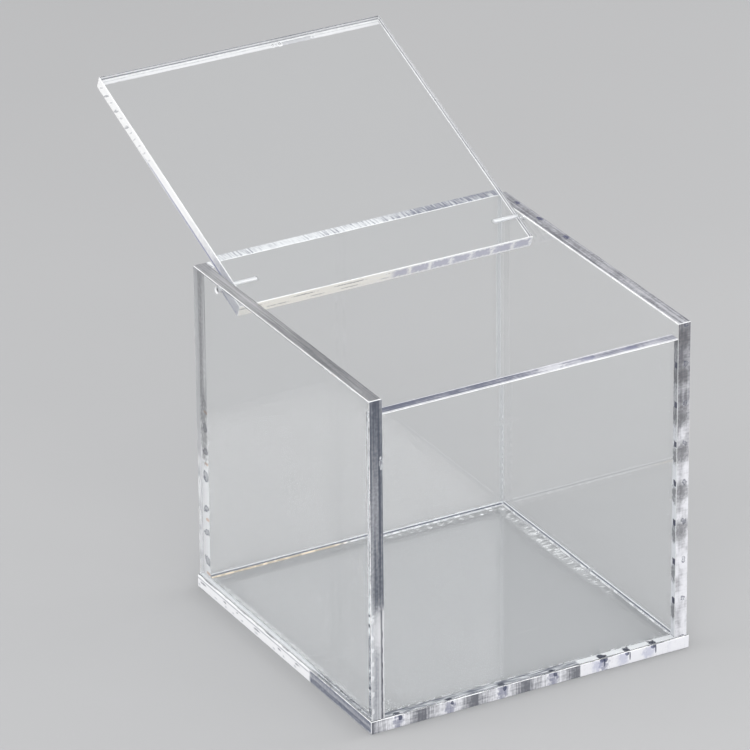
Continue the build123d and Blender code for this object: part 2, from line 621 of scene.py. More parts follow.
class JointLook(Enum):
    """The looks of the cemented joints, and of the scraped strip on the lid."""

    # The left wall's back joint: light below and darker above the drift, painted light, the glow of light
    # let into the joint low down.
    GREYED = Marks(
        dark=(0.13, 0.13, 0.14), light=(0.99, 0.99, 1.0), level=1.1, drift=Drift(44, 62, -0.8), lines=0.5,
        line_pitch=2, streaks=0.5, specks=0.3, cover=1.3, body=0.9,
        spots=(
            Spots(8.6, 2.4, 47.6, 3, wander=12, high=52, ragged=3.0, hollow=0.5),
            # Orange spots: painted glints.
            Spots(17, 1.0, 47, 2.4, 5, high=66, colour=(0.6, 0.25, 0.05), strength=0.5),
            Spots.alone(20, 48, 4, 50, soft=0.9, ragged=3.0, colour=(0.05, 0.05, 0.06), strength=0.7),
        ),
    )
    SPOTTED = Marks(
        dark=(0.12, 0.12, 0.14), light=(0.88, 0.88, 0.91), level=1.0, drift=Drift(46, 90, -0.7),
        streaks=0.5, specks=0.8, cover=1.2, body=0.95,
        spots=(
            Spots(12, 5, -48, 5, -0.2, wander=1, soft=0.9, ragged=4.0, colour=(0.07, 0.07, 0.08),
                  strength=0.8),
            Spots(12, 1.8, -48.7, 3.4, 3.3, wander=1, ragged=1.2, soft=0.2, square=True,
                  colour=(0.01, 0.012, 0.05), strength=1.0),
            # Painted highlight: a thin white line along the border of the joint.
            Spots.line(-49.9, 0.9, ragged=0.2, colour=(1.0, 1.0, 1.0), strength=1.0),
        ),
    )
    FAINT = Marks(
        dark=(0.3, 0.31, 0.33), level=0.6, lines=1.0, streaks=0.6, cover=0.18, body=0.5,
    )
    BORDERED = Marks(
        dark=(0.3, 0.31, 0.33), level=0.6, lines=1.0, streaks=0.6, cover=0.18, body=0.5,
        spots=(
            # Painted highlights: the white lines along both borders of the joint.
            Spots.line(46.3, 0.45, ragged=1.2, colour=(0.96, 0.96, 0.97), strength=0.8),
            Spots.line(49.7, 0.45, ragged=1.2, colour=(0.96, 0.96, 0.97), strength=0.65),
            Spots(2.8, 1.2, 46.9, 1.4, wander=8, high=34, ragged=5.0, colour=(0.96, 0.96, 0.97),
                  strength=0.8),
        ),
    )
    DASHED = Marks(
        dark=(0.07, 0.08, 0.12), level=0.35, lines=1.2, line_pitch=1.6, patches=2.0, patch_length=5,
        patch_width=1.2, streaks=0.3, drift=Drift(14.8, 15.8, 0.8), cover=1.0,
        spots=(
            Spots(8.2, 1.9, -48.6, 4, 30.8, wander=1, low=18, ragged=2.6, square=True,
                  colour=(0.01, 0.015, 0.04), strength=1.0),
            Spots(16.3, 2.2, -49, 2.4, 6.8, wander=1, high=26, ragged=3.0, colour=(0.01, 0.015, 0.04),
                  strength=1.0),
        ),
    )
    SPARKLED = Marks(
        dark=(0.16, 0.17, 0.21), light=(0.99, 0.99, 1.0), level=0.45, rails=0.7, rail_pitch=2.4,
        streaks=0.4, specks=1.8, drift=Drift(-20, -12, 0.55), cover=0.55, cover_drift=Drift(-20, -12, 0.5),
    )
    STRIPED = Marks(
        dark=(0.05, 0.06, 0.11), light=(0.97, 0.97, 0.98), level=0.5, rails=2.4, rail_pitch=2.9,
        streaks=0.3, specks=0.3, cover=1.0,
    )
    SCRAPED = Marks(
        dark=(0.3, 0.31, 0.34), level=0.9, rails=0.5, rail_pitch=1.1, streaks=0.5, patches=0.4,
        patch_length=6, specks=0.5, cover=1.7, body=0.9,
        spots=(
            Spots.alone(11, -48.6, 3, 17.6, ragged=4.0, soft=0.6, colour=(0.3, 0.31, 0.35), strength=0.45),
        ),
    )


@dataclass(frozen=True)
class MarkedSurface:
    """A surface that carries marks along and across its run."""

    name: str
    look: EdgeLook | JointLook
    run: Axis
    across: Axis
    lie: Lie = LEVEL

    def waves(self, along: float, across: float) -> list[float]:
        """Turns a pattern's steps into the scale of its noise.

        Args:
            along: The step along the run, in millimetres.
            across: The step across it.

        Returns:
            The waves to the metre along each axis.
        """
        scale = [0.0] * 3
        scale[self.run.value] = 1 / (along * MM)
        scale[self.across.value] = 1 / (across * MM)
        return scale

    def rail(self, board: NodeBoard, marks: Marks) -> NodeSocket:
        """Makes the wave across the run, which bends a little along it.

        Args:
            board: The material's board.
            marks: The surface's marks.

        Returns:
            The wave, from -1 to 1.
        """
        bend = board.noise(self.waves(marks.rail_bend, marks.rail_bend), 1.0)
        turn = board.math("MULTIPLY", board.coordinate(self.across), math.tau / marks.rail_pitch)
        return board.math("SINE", board.math("MULTIPLY_ADD", bend, 3.0, turn))

    def fade(self, board: NodeBoard, marks: Marks) -> NodeSocket:
        """Makes the fades: in each pitch the tone rises, rests and falls away.

        Args:
            board: The material's board.
            marks: The surface's marks.

        Returns:
            What the fades add to the tone.
        """
        along = board.coordinate(self.run)
        shifted = board.math("SUBTRACT", along, marks.fade_start)
        part = board.math("FRACT", board.math("MULTIPLY", shifted, 1 / marks.fade_pitch))
        rise = board.band(part, 0.0, 0.42, -marks.fades / 2, 0.0)
        both = board.math("ADD", rise, board.band(part, 0.5, 1.0, 0.0, -marks.fades))
        held = board.band(along, marks.fade_end + marks.fade_edge, marks.fade_end - marks.fade_edge)
        return board.math("MULTIPLY", both, held)

    def tone(self, board: NodeBoard) -> NodeSocket:
        """Works out how light each place is.

        Args:
            board: The material's board.

        Returns:
            The tone, from 0 for dark to 1 for light.
        """
        marks = self.look.value
        kinds = (
            (marks.streaks, marks.streak_length, marks.streak_pitch, 3.0),
            (marks.lines, marks.line_length, marks.line_pitch, 1.0),
            (marks.patches, marks.patch_length, marks.patch_width, 2.0),
            (marks.hatch, marks.hatch_pitch, marks.hatch_length, 2.0),
            (marks.specks, marks.speck_size, marks.speck_size, 2.0),
        )
        tone = marks.level - sum(kind[0] for kind in kinds) / 2
        for weight, along, across, detail in kinds:
            if weight:
                pattern = board.noise(self.waves(along, across), detail)
                tone = board.math("MULTIPLY_ADD", pattern, weight, tone)
        if marks.rails:
            tone = board.math("MULTIPLY_ADD", self.rail(board, marks), marks.rails / 2, tone)
        if marks.fades:
            tone = board.math("ADD", self.fade(board, marks), tone)
        return board.band(self.drifted(board, tone, marks.drift), 0.0, 1.0)

    def drifted(self, board: NodeBoard, value: object, drift: Drift | None) -> object:
        """Adds a change along the run to a value.

        Args:
            board: The material's board.
            value: The value as it was.
            drift: The change, if any.

        Returns:
            The changed value.
        """
        if drift is None:
            return value
        change = board.band(board.coordinate(self.run), drift.start, drift.end, 0.0, drift.amount)
        return board.math("ADD", value, change)

    def masks(self, board: NodeBoard) -> list[tuple[NodeSocket, Colour]]:
        """The mask and the colour of each set of spots."""
        every = self.look.value.spots
        return [(spots.mask(board, self.run, self.across), spots.colour) for spots in every]


@dataclass(frozen=True)
class CutEdge(MarkedSurface):
    """A cut edge of the sheet, marked by the cutter and the cement, with painted light and shade in its
    tones.
    """

    groove_depth: float = 0.04 * MM
    light_clear: float = 0.6

    def material(self) -> Material:
        """Makes the material.

        Returns:
            The material.
        """
        marks = self.look.value
        board = NodeBoard(self.name, self.lie)
        tone = self.tone(board)
        colour = board.blend(tone, marks.dark, marks.light)
        for mask, spot_colour in self.masks(board):
            colour = board.blend(mask, colour, spot_colour)
        grain = board.noise(self.waves(marks.streak_length, marks.streak_pitch), 3.0, 0.65)
        groove = board.add("Bump", Height=grain, Strength=0.3, Distance=self.groove_depth)
        clear = board.band(tone, 0.0, 1.0, marks.clear, marks.clear * self.light_clear)
        return board.clear_surface(board.acrylic(colour, marks.roughness, clear, Normal=groove.outputs[0]))


@dataclass(frozen=True)
class CementJoint(MarkedSurface):
    """The inside of a cemented joint: wetted through, with dry stretches and dark marks."""

    blot_scale: float = 230.0
    grain_scale: float = 1300.0
    grain_share: float = 0.4
    cover_weight: float = 0.6
    frost_rough: float = 0.4
    frost_clear: float = 0.12

    def material(self) -> Material:
        """Makes the material.

        Returns:
            The material.
        """
        marks = self.look.value
        board = NodeBoard(self.name, self.lie)
        colour = board.blend(self.tone(board), marks.dark, marks.light)
        blot = board.math("MULTIPLY", board.noise(self.blot_scale), 1 - self.grain_share)
        mottle = board.math("MULTIPLY_ADD", board.noise(self.grain_scale), self.grain_share, blot)
        cover = board.math("ADD", mottle, (marks.cover - 0.5) * self.cover_weight)
        cover = self.drifted(board, cover, marks.cover_drift)
        dry = board.band(cover, 0.44, 0.56, 0.0, marks.body)
        for mask, spot_colour in self.masks(board):
            colour = board.blend(mask, colour, spot_colour)
            dry = board.math("MAXIMUM", dry, mask)
        wetted = board.add("BsdfTransparent", Color=WETTED_TINT)
        frosted = board.acrylic(colour, self.frost_rough, self.frost_clear)
        return board.clear_surface(board.mix(dry, wetted.outputs[0], frosted))


@dataclass(frozen=True)
class WettedFace:
    """A face that cement has run over from end to end, so that it can't be seen."""

    name: str

    def material(self) -> Material:
        """Makes the material.

        Returns:
            The material.
        """
        board = NodeBoard(self.name)
        tint = board.blend(board.noise(120.0), WETTED_TINT, (0.96, 0.97, 0.975))
        return board.solid_surface(board.add("BsdfTransparent", Color=tint).outputs[0])


@dataclass(frozen=True)
class Arris:
    """The broken edge between two faces: white in some places, a painted highlight for the light that the
    edge catches, and clearer in others.
    """

    name: str
    lie: Lie = LEVEL
    least_clear: float = 0.02
    most_clear: float = 0.3
    highlight_scale: float = 160.0
    chatter_scale: float = 900.0
    chatter_share: float = 0.3
    colour: Colour = (0.98, 0.985, 0.99)

    def material(self) -> Material:
        """Makes the material.

        Returns:
            The material.
        """
        board = NodeBoard(self.name, self.lie)
        chatter = board.noise(self.chatter_scale)
        fine = board.math("MULTIPLY", chatter, self.chatter_share)
        # Painted highlight: where this is high the edge turns white and lets little light through.
        painted_highlight = board.math("MULTIPLY_ADD", board.noise(self.highlight_scale), 1 - self.chatter_share, fine)
        clear = board.band(painted_highlight, 0.38, 0.58, self.most_clear, self.least_clear)
        return board.clear_surface(board.acrylic(self.colour, board.spread(chatter, 0.1, 0.25), clear))


@dataclass(frozen=True)
class CementBead:
    """Set cement, squeezed out along a joint and dried cloudy, tinted towards orange up to one place on
    its run.
    """

    name: str
    tinted_to: float | None = None
    tint_fade: float = 8.0
    yellow: Colour = (0.95, 0.8, 0.6)

    def material(self) -> Material:
        """Makes the material.

        Returns:
            The material.
        """
        board = NodeBoard(self.name)
        cloud = board.noise(420.0, 3.0)
        colour = board.blend(cloud, (0.8, 0.81, 0.83), (0.98, 0.98, 0.99))
        # Tints the bead towards orange up to one place on its run.
        if self.tinted_to is not None:
            along = board.coordinate(Axis.X)
            tinted = board.band(along, self.tinted_to, self.tinted_to - self.tint_fade)
            colour = board.blend(tinted, colour, self.yellow)
        clear = board.band(cloud, 0.4, 0.7, 0.6, 0.05)
        return board.clear_surface(board.acrylic(colour, board.spread(cloud, 0.15, 0.35), clear))


@dataclass(frozen=True)
class DrilledBore:
    """The wall of a drilled hole, with the drill's turns left in it and a film of oil that clears it."""

    name: str
    lie: Lie = LEVEL
    ring_scale: tuple = (7000, 300, 300)
    ring_depth: float = 0.01 * MM
    colour: Colour = (0.96, 0.965, 0.97)

    def material(self) -> Material:
        """Makes the material.

        Returns:
            The material.
        """
        board = NodeBoard(self.name, self.lie)
        rings = board.noise(self.ring_scale)
        ridge = board.add("Bump", Height=rings, Strength=0.15, Distance=self.ring_depth)
        rough, clear = board.spread(rings, 0.02, 0.08), board.spread(rings, 1.0, 0.9)
        bore = board.acrylic(self.colour, rough, clear, Normal=ridge.outputs[0])
        oiled = board.add("BsdfTransparent", Color=WETTED_TINT)
        wall = board.mix(board.spread(rings, 0.96, 0.88), bore, oiled.outputs[0])
        return board.clear_surface(wall, FACE_SHADE)


@dataclass(frozen=True)
class Countersink:
    """The cone that opens a drilled hole, left matt by the cutter, and painted white as a highlight for
    the ring of light round the hole's mouth.
    """

    name: str
    chatter_scale: tuple = (900, 2200, 2200)
    rough: float = 0.35

    def material(self) -> Material:
        """Makes the material.

        Returns:
            The material.
        """
        board = NodeBoard(self.name)
        chatter = board.noise(self.chatter_scale)
        # Partly painted highlight: the white ring round the hole's mouth, over the cutter's matt.
        colour = board.blend(chatter, (0.82, 0.83, 0.85), (0.99, 0.99, 0.99))
        clear = board.band(chatter, 0.35, 0.7, 0.15, 0.0)
        return board.clear_surface(board.acrylic(colour, self.rough, clear))


@dataclass(frozen=True)
class PinSteel:
    """Drawn steel with fine marks round the pin, painted whiter than bare steel as a painted reflection of
    the soft light, and its outer end in the hole's mouth painted dark as shade.
    """

    name: str
    turn_scale: tuple = (6000, 250, 250)
    turn_depth: float = 0.002 * MM
    shaded_from: float = 49.45
    shade_edge: float = 0.05

    def material(self) -> Material:
        """Makes the material.

        Returns:
            The material.
        """
        board = NodeBoard(self.name)
        turns = board.noise(self.turn_scale)
        # Painted reflection: the steel made near white, where bare steel would mirror the soft light.
        bright = board.blend(turns, (0.93, 0.93, 0.94), (0.98, 0.98, 0.99))
        outward = board.math("ABSOLUTE", board.coordinate(Axis.X))
        low, high = self.shaded_from - self.shade_edge, self.shaded_from + self.shade_edge
        # Painted shade: the outer end, in the hole's mouth, darkened.
        painted_shade = board.band(outward, low, high, 0.0, 0.9)
        tone = board.blend(painted_shade, bright, (0.08, 0.08, 0.09))
        mark = board.add("Bump", Height=turns, Strength=0.05, Distance=self.turn_depth)
        steel = board.add(
            "BsdfPrincipled", Base_Color=tone, Metallic=0.4, Roughness=board.spread(turns, 0.3, 0.36),
            Normal=mark.outputs[0],
        )
        return board.solid_surface(steel.outputs[0])


@dataclass(frozen=True)
class FloorPaint:
    """The studio's plain pale floor, with a trace of unevenness."""

    name: str

    def material(self) -> Material:
        """Makes the material.

        Returns:
            The material.
        """
        board = NodeBoard(self.name)
        tone = board.blend(board.noise(6.0), (0.43, 0.43, 0.435), (0.46, 0.46, 0.465))
        floor = board.add("BsdfPrincipled", Base_Color=tone, Roughness=0.7)
        return board.solid_surface(floor.outputs[0])


def only(piece: Object) -> None:
    """Selects one piece alone and makes it the active one.

    Args:
        piece: The piece.
    """
    bpy.ops.object.select_all(action="DESELECT")
    piece.select_set(True)
    bpy.context.view_layer.objects.active = piece


def edit(piece: Object) -> BMesh:
    """Opens one piece in edit mode, with nothing selected.

    Args:
        piece: The piece.

    Returns:
        Its live mesh.
    """
    only(piece)
    bpy.ops.object.mode_set(mode="EDIT")
    bpy.ops.mesh.select_all(action="DESELECT")
    return bmesh.from_edit_mesh(piece.data)


def leave_edit() -> None:
    """Goes back to object mode."""
    bpy.ops.object.mode_set(mode="OBJECT")


def pick(piece: Object, parts: Iterable, chosen: Callable[[object], bool]) -> None:
    """Selects vertices, edges or faces of the piece in edit mode.

    Args:
        piece: The piece.
        parts: What there is to choose from.
        chosen: The test that a selected part passes.
    """
    for part in parts:
        if chosen(part):
            part.select_set(True)
    bmesh.update_edit_mesh(piece.data)


def cut_across(axis: Axis, place: float) -> None:
    """Cuts all the faces of the piece in edit mode along a plane.

    Args:
        axis: The axis that the plane stands across.
        place: Where on this axis it stands.
    """
    normal, point = Vector(), Vector()
    normal[axis.value] = 1
    point[axis.value] = place
    bpy.ops.mesh.select_all(action="SELECT")
    bpy.ops.mesh.bisect(plane_co=point, plane_no=normal)


def settle(piece: Object) -> None:
    """Puts a piece's place, turn and size into its mesh."""
    only(piece)
    bpy.ops.object.transform_apply(location=True, rotation=True, scale=True)


def add_solid(shape: Callable, stretch: Sequence[float] = (1, 1, 1), **options: object) -> Object:
    """Adds a plain solid.

    Args:
        shape: The operator that adds its shape.
        stretch: What the shape is multiplied by along each axis.
        options: The operator's options.

    Returns:
        The solid, settled.
    """
    bpy.ops.object.select_all(action="DESELECT")
    shape(**options)
    piece = bpy.context.object
    piece.scale = stretch
    settle(piece)
    return piece


def cut_out(piece: Object, cutter: Object) -> None:
    """Takes a cutter's shape out of a piece and deletes the cutter.

    Args:
        piece: The piece.
        cutter: The cutter.
    """
    modifier = piece.modifiers.new("cut", "BOOLEAN")
    modifier.operation = "DIFFERENCE"
    modifier.solver = "EXACT"
    modifier.object = cutter
    only(piece)
    bpy.ops.object.modifier_apply(modifier=modifier.name)
    bpy.data.objects.remove(cutter)


@dataclass
class Hinge:
    """The hinge line and the sizes of its pins and holes."""

    y: float
    z: float
    pin_radius: float
    pin_inner_end: float
    running_gap: float = 0.05 * MM
    end_gap: float = 0.4 * MM
    mouth_step: float = 0.4 * MM
    drill_point: float = math.radians(118.0)
    overrun: float = 1 * MM
    facets: int = 48

    @classmethod
    def from_frame(cls) -> "Hinge":
        """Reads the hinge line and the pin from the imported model.

        Returns:
            The hinge.
        """
        _, y, z = frame["joints"][0]["pos_m"]
        low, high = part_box("right_hinge_pin")
        return cls(y=y, z=z, pin_radius=(high.z - low.z) / 2, pin_inner_end=low.x)

    @property
    def point(self) -> Vector:
        """The middle of the hinge line."""
        return Vector((0, self.y, self.z))

    def from_line(self, place: Vector) -> float:
        """How far a point is from the hinge line."""
        return math.hypot(place.y - self.y, place.z - self.z)

    def rod(self, start: float, end: float, radius: float) -> Object:
        """Adds a round rod along the hinge line, from one x to another.

        Args:
            start: Where it starts.
            end: Where it ends.
            radius: Its radius.

        Returns:
            The rod.
        """
        return add_solid(
            bpy.ops.mesh.primitive_cylinder_add, vertices=self.facets, radius=radius,
            depth=abs(end - start), location=((start + end) / 2, self.y, self.z),
            rotation=(0, math.pi / 2, 0),
        )

    def open_cap(self, rod: Object, sign: int) -> None:
        """Opens a rod in edit mode and selects its end face on the side that sign names."""
        mesh = edit(rod)
        pick(rod, mesh.faces, lambda face: face.normal.x * sign > FLAT)

    def wall_cutter(self, sign: int, inside: float, outside: float) -> Object:
        """Makes the cutter for the bore and countersink of a side wall.

        Args:
            sign: -1 for the left wall, 1 for the right.
            inside: The wall's inner face, as a distance from the middle.
            outside: Its outer face.

        Returns:
            The cutter.
        """
        start = sign * (inside - self.overrun)
        rod = self.rod(start, sign * (outside - self.mouth_step), self.pin_radius)
        self.open_cap(rod, sign)
        mouth = 1 + self.mouth_step / self.pin_radius
        for step, widen in ((self.mouth_step, mouth), (self.overrun, 1.0)):
            bpy.ops.mesh.extrude_region_move(TRANSFORM_OT_translate={"value": (sign * step, 0, 0)})
            bpy.ops.transform.resize(value=(1, widen, widen), center_override=self.point)
        leave_edit()
        return rod

    def lid_cutter(self, sign: int, mouth: float) -> Object:
        """Makes the cutter for the blind bore in one end of the lid, with its drill point.

        Args:
            sign: -1 for the left end, 1 for the right.
            mouth: The lid's end face, as a distance from the middle.

        Returns:
            The cutter.
        """
        radius = self.pin_radius + self.running_gap
        bottom = self.pin_inner_end - self.end_gap
        rod = self.rod(sign * bottom, sign * (mouth + self.overrun), radius)
        self.open_cap(rod, -sign)
        point = radius / math.tan(self.drill_point / 2)
        bpy.ops.mesh.extrude_region_move(TRANSFORM_OT_translate={"value": (-sign * point, 0, 0)})
        bpy.ops.mesh.merge(type="CENTER")
        leave_edit()
        return rod


@dataclass(frozen=True)
class Seam:
    """Where another panel is cemented onto a face of this one."""

    side: Side
    low: Vector
    high: Vector
    look: JointLook

    @property
    def run(self) -> Axis:
        """The axis along the seam."""
        size = self.high - self.low
        return max(Axis.besides(self.side.axis), key=lambda axis: size[axis.value])

    def finish(self, name: str) -> Material:
        """Makes the seam's material."""
        across = Axis.besides(self.side.axis, self.run)[0]
        return CementJoint(name, self.look, self.run, across).material()

    def holds(self, polygon: MeshPolygon) -> bool:
        """Tells if a face of the mesh lies inside the seam.

        Args:
            polygon: The face.

        Returns:
            Whether it does.
        """
        flat = [axis.value for axis in Axis.besides(self.side.axis)]
        inside = all(self.low[i] < polygon.center[i] < self.high[i] for i in flat)
        return inside and self.side.faces(polygon.normal)


@dataclass(frozen=True)
class Dressing:
    """The finishes of one panel."""

    face: Material
    arris: Material
    upright: Material
    glued: Material
    scraped: Material
    bore: Material
    cone: Material
    edges: dict[Side, Material]
    seams: tuple[Material, ...] = ()

    @property
    def finishes(self) -> list[Material]:
        """Every finish once, in the order of the piece's material slots."""
        plain = (self.face, self.arris, self.upright, self.glued, self.scraped, self.bore, self.cone)
        return list(dict.fromkeys((*plain, *self.edges.values(), *self.seams)))

    @classmethod
    def of_looks(cls, panel: str, looks: dict[Side, EdgeLook], thin: Axis, lie: Lie = LEVEL,
                 seams: tuple[Seam, ...] = (), **plain: Material) -> "Dressing":
        """Makes the finishes of a panel's cut edges and seams and adds them to the others.

        Args:
            panel: The panel's name.
            looks: The look of each cut edge.
            thin: The axis across the sheet.
            lie: How the pattern lies.
            seams: The panel's seams.
            plain: The other finishes.

        Returns:
            The dressing.
        """
        edges = {}
        for side, look in looks.items():
            run = Axis.besides(side.axis, thin)[0]
            name = f"{panel}_{'low' if side.sign < 0 else 'high'}_{side.axis.name.lower()}_edge"
            edges[side] = CutEdge(name, look, run, thin, lie).material()
        joints = tuple(seam.finish(f"{panel}_joint_{number}") for number, seam in enumerate(seams, 1))
        return cls(edges=edges, seams=joints, **plain)


@dataclass
class Panel:
    """One flat panel of sheet, modelled upright or level from its two corners."""

    node: str
    body: str
    low: Vector
    high: Vector
    thin: Axis
    rims: tuple[tuple[Side, Side], ...]
    glued: tuple[Side, ...] = ()
    seams: tuple[Seam, ...] = ()
    arris: float = 0.4 * MM
    joint_gap: float = HAIR
    facets: int = 3

    def blank(self) -> Object:
        """Adds the panel as a plain block, drawn back by a hair where it is glued.

        Returns:
            The block.
        """
        low, high = self.low.copy(), self.high.copy()
        for side in self.glued:
            corner = high if side.sign > 0 else low
            corner[side.axis.value] -= side.sign * self.joint_gap
        piece = add_solid(bpy.ops.mesh.primitive_cube_add, high - low, size=1, location=(low + high) / 2)
        piece.name = piece.data.name = self.node + "_sheet"
        return piece

    def break_edges(self, piece: Object) -> None:
        """Rounds each edge that lies between two of the panel's open sides.

        Args:
            piece: The block.
        """
        mesh = edit(piece)
        pairs = {frozenset(pair) for pair in self.rims}

        def is_open(edge: BMEdge) -> bool:
            """True if the two sides that meet at an edge are a pair to break."""
            return frozenset(side_on(face.normal, NEARLY_FLAT) for face in edge.link_faces) in pairs

        pick(piece, mesh.edges, is_open)
        bpy.ops.mesh.bevel(offset=self.arris, segments=self.facets, profile=0.5, affect="EDGES")
        leave_edit()

    def mark_seams(self, piece: Object) -> None:
        """Cuts the faces along the outline of each seam, so that the seam has faces of its own.

        Args:
            piece: The panel's mesh.
        """
        planes = set()
        for seam in self.seams:
            for axis in Axis.besides(seam.side.axis):
                least, most = self.low[axis.value] + SLIVER, self.high[axis.value] - SLIVER
                places = (round(limit[axis.value], DECIMALS) for limit in (seam.low, seam.high))
                planes.update((axis.value, place) for place in places if least < place < most)
        edit(piece)
        for index, place in sorted(planes):
            cut_across(Axis(index), place)
        leave_edit()

    def dress(self, piece: Object, dressing: Dressing, hinge: Hinge) -> None:
        """Gives each face of the mesh the finish that its place calls for.

        Args:
            piece: The panel's mesh.
            dressing: The panel's finishes.
            hinge: The hinge, whose holes have finishes of their own.
        """
        finishes = dressing.finishes
        for finish in finishes:
            piece.data.materials.append(finish)
        for polygon in piece.data.polygons:
            polygon.material_index = finishes.index(self.finish_of(polygon, dressing, hinge))

    def finish_of(self, polygon: MeshPolygon, dressing: Dressing, hinge: Hinge) -> Material:
        """Finds one face's finish, by the side it is on and its distance from the hinge line.

        Args:
            polygon: The face.
            dressing: The panel's finishes.
            hinge: The hinge.

        Returns:
            The finish.
        """
        side = side_on(polygon.normal, FLAT)
        away = hinge.from_line(polygon.center)
        if away < hinge.pin_radius + hinge.mouth_step and side not in (LEFT, RIGHT):
            return dressing.cone if away > hinge.pin_radius + 2 * hinge.running_gap else dressing.bore
        if side in self.glued:
            return dressing.glued
        for seam, finish in zip(self.seams, dressing.seams):
            if seam.holds(polygon):
                return finish
        if side is None and side_on(polygon.normal, NEARLY_FLAT):
            return dressing.scraped
        side = side or side_on(polygon.normal, OUTER_FACET)
        if side is None:
            return dressing.upright if abs(polygon.normal.z) < UPRIGHT else dressing.arris
        return dressing.edges.get(side, dressing.face)

    def sit(self, piece: Object, slot: str) -> None:
        """Hands the finished piece to its body, in place of its node.

        Args:
            piece: The finished piece.
            slot: Not used.
        """
        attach(piece, self.body)
        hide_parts(self.node)
        LOG.info("%s: %d faces, on body %s", piece.name, len(piece.data.polygons), self.body)


@dataclass
class Bead:
    """A thin bead of set cement in an inner corner, three-sided, with a wavering front."""

    name: str
    run: Axis
    start: Vector
    length: float
    lean: tuple[int, int]
    seed: int
    tinted_to: float | None = None
    leg: float = 0.35 * MM
    steps: int = 46
    waver: float = 0.1
    still_end: float = 0.1 * MM

    @property
    def flat(self) -> list[int]:
        """The places in a vector of the two axes across the bead."""
        return [axis.value for axis in Axis.besides(self.run)]

    def wedge(self) -> Object:
        """Adds the bead as a straight bar with its corner on the line from start, cut into steps.

        Returns:
            The bar.
        """
        run = self.run.value
        size, middle, normal = Vector([self.leg] * 3), self.start.copy(), Vector()
        size[run] = self.length
        middle[run] += self.length / 2
        for index, sign in zip(self.flat, self.lean):
            middle[index] += sign * self.leg / 2
            normal[index] = sign
        piece = add_solid(bpy.ops.mesh.primitive_cube_add, size, size=1, location=middle)
        piece.name = piece.data.name = self.name
        edit(piece)
        bpy.ops.mesh.select_all(action="SELECT")
        bpy.ops.mesh.bisect(plane_co=middle, plane_no=normal, use_fill=True, clear_outer=True)
        for step in range(1, self.steps):
            cut_across(self.run, self.start[run] + self.length * step / self.steps)
        leave_edit()
        return piece

    def build(self, finish: Material) -> Object:
        """Builds the bead.

        Args:
            finish: The cement's material.

        Returns:
            The bead.
        """
        piece = self.wedge()
        mesh = edit(piece)
        corner = Vector([self.start[index] for index in self.flat])

        def on_front(vertex: BMVert) -> bool:
            """Tells if a vertex is away from the corner that the bead fills, and from its ends.

            Args:
                vertex: The vertex.

            Returns:
                Whether it is.
            """
            beside = Vector([vertex.co[index] for index in self.flat])
            along = vertex.co[self.run.value] - self.start[self.run.value]
            between = self.still_end < along < self.length - self.still_end
            return (beside - corner).length > self.leg / 2 and between

        pick(piece, mesh.verts, on_front)
        bpy.ops.transform.vertex_random(offset=self.waver * self.leg, seed=self.seed)
        leave_edit()
        piece.data.materials.append(finish)
        return piece


